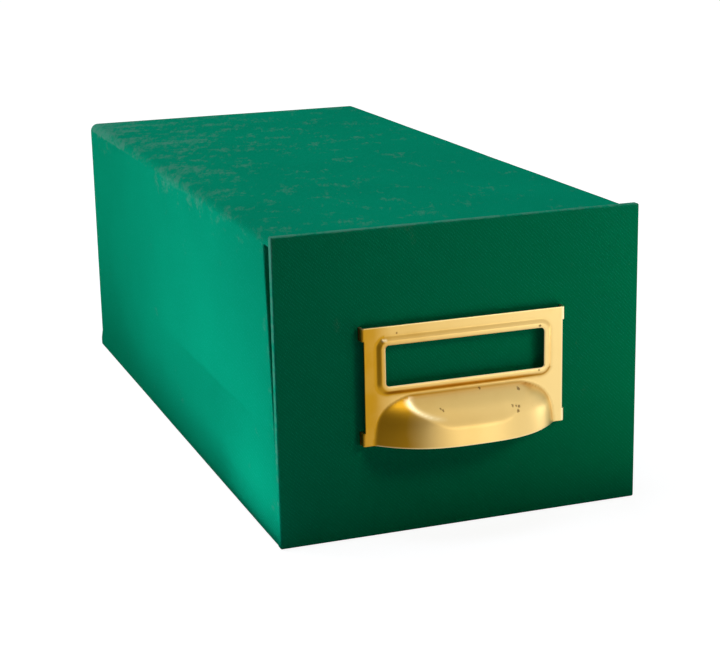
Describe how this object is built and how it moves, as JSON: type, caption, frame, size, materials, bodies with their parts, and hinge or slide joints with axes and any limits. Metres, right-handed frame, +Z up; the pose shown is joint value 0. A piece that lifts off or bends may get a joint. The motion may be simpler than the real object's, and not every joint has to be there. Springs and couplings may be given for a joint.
{
  "type": "index card drawer",
  "caption": "Cloth-covered board case with a slide-out card drawer and a stamped brass plate that holds a label above a finger cup.",
  "frame": {"origin": "on the table under the middle of the whole object, the pull's cup included", "axes": "+Y to the back along the drawer's slide, front and pull face -Y; +X to the right seen from the front; +Z up"},
  "size_m": [0.11, 0.2482, 0.089],
  "materials": {
    "greyboard": "matt grey binder's board",
    "green_cloth": "green bookbinding cloth, fine weave, low sheen",
    "paper": "matt lining paper",
    "dark_paper": "black cover paper, smooth so that the drawer slides",
    "kraft_tape": "gummed kraft tape",
    "brass": "satin, lacquered"
  },
  "bodies": {
    "case": {"case_bottom_board": "greyboard", "case_top_board": "greyboard", "case_left_board": "greyboard", "case_right_board": "greyboard", "case_back_board": "greyboard", "case_corner_stays": "kraft_tape", "case_wrap": "green_cloth", "case_base_infill": "paper", "case_back_infill": "paper", "case_base_sheet": "green_cloth", "case_back_sheet": "green_cloth", "case_lining": "paper"},
    "drawer": {"tray_bottom_board": "greyboard", "tray_left_board": "greyboard", "tray_right_board": "greyboard", "tray_front_board": "greyboard", "tray_back_board": "greyboard", "tray_corner_stays": "kraft_tape", "tray_wrap": "dark_paper", "tray_lining": "paper", "drawer_front_board": "greyboard", "drawer_front_cloth": "green_cloth", "drawer_front_backing": "paper", "label_pull": "brass"}
  },
  "joints": [
    {"name": "drawer_slide", "type": "slide", "parent": "case", "child": "drawer", "axis": [0, -1, 0], "range_m": [0, 0.215]}
  ]
}
